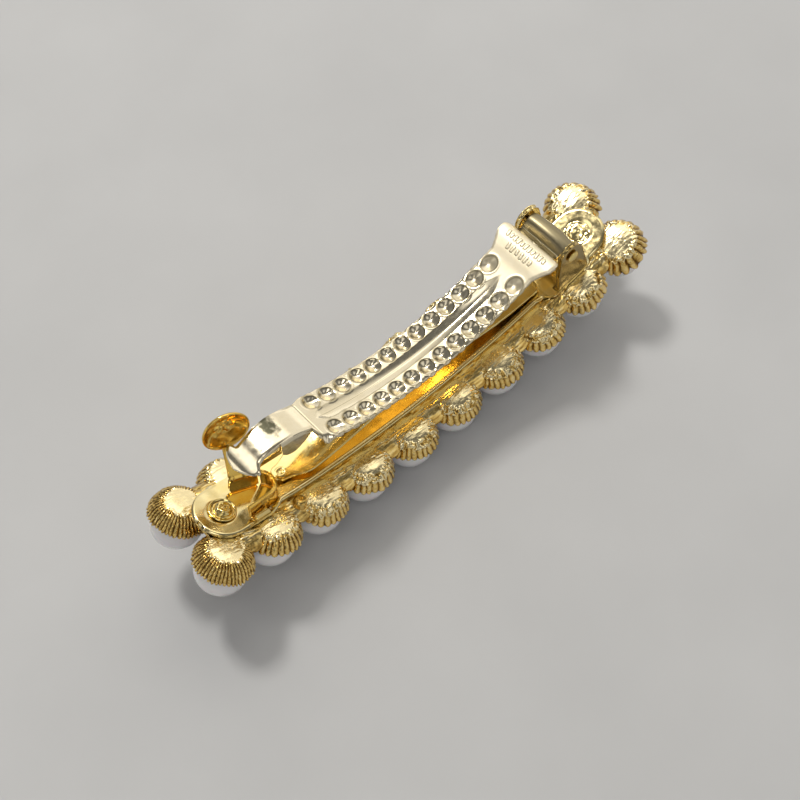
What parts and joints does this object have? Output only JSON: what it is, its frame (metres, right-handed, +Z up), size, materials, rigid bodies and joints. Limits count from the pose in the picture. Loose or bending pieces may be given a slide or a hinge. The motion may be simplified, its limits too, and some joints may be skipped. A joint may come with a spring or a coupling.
{
  "type": "hair barrette",
  "caption": "Arched hair barrette with two rows of cup-set pearls under a riveted spring clip with a hinged tongue and a sprung release lever.",
  "frame": {"origin": "centre of the bounding box on the floor, under the middle of the barrette lying on its pearls", "axes": "+X along the length from the catch to the hinge, +Y across towards the lever side, +Z up from the pearls to the clip"},
  "size_m": [0.0872, 0.0188, 0.0273],
  "materials": {
    "gold_plate": "polished gold-coloured plating",
    "pale_gold": "polished pale gold plating on pressed sheet",
    "pearl": "glossy white pearl coat"
  },
  "bodies": {
    "clip_base": {"casting": "gold_plate", "pearl_near_01": "pearl", "pearl_near_02": "pearl", "pearl_near_03": "pearl", "pearl_near_04": "pearl", "pearl_near_05": "pearl", "pearl_near_06": "pearl", "pearl_near_07": "pearl", "pearl_near_08": "pearl", "pearl_near_09": "pearl", "pearl_near_10": "pearl", "pearl_far_01": "pearl", "pearl_far_02": "pearl", "pearl_far_03": "pearl", "pearl_far_04": "pearl", "pearl_far_05": "pearl", "pearl_far_06": "pearl", "pearl_far_07": "pearl", "pearl_far_08": "pearl", "pearl_far_09": "pearl", "pearl_far_10": "pearl", "base_plate": "gold_plate", "rivet_catch_end": "gold_plate", "rivet_hinge_end": "gold_plate", "hinge_pin": "gold_plate", "tension_spring": "gold_plate", "catch_spring": "gold_plate"},
    "tongue": {"tongue": "pale_gold"},
    "release_lever": {"release_lever": "gold_plate"}
  },
  "joints": [
    {"name": "tongue_hinge", "type": "hinge", "parent": "clip_base", "child": "tongue", "pos_m": [0.0283, 0, 0.0201], "axis": [0, 1, 0], "range_deg": [0, 80]},
    {"name": "lever_flex", "type": "hinge", "parent": "clip_base", "child": "release_lever", "pos_m": [-0.02803, 0.00081, 0.0155], "axis": [0, 0, -1], "range_deg": [0, 10], "stiffness_Nm_per_rad": 0.125}
  ]
}
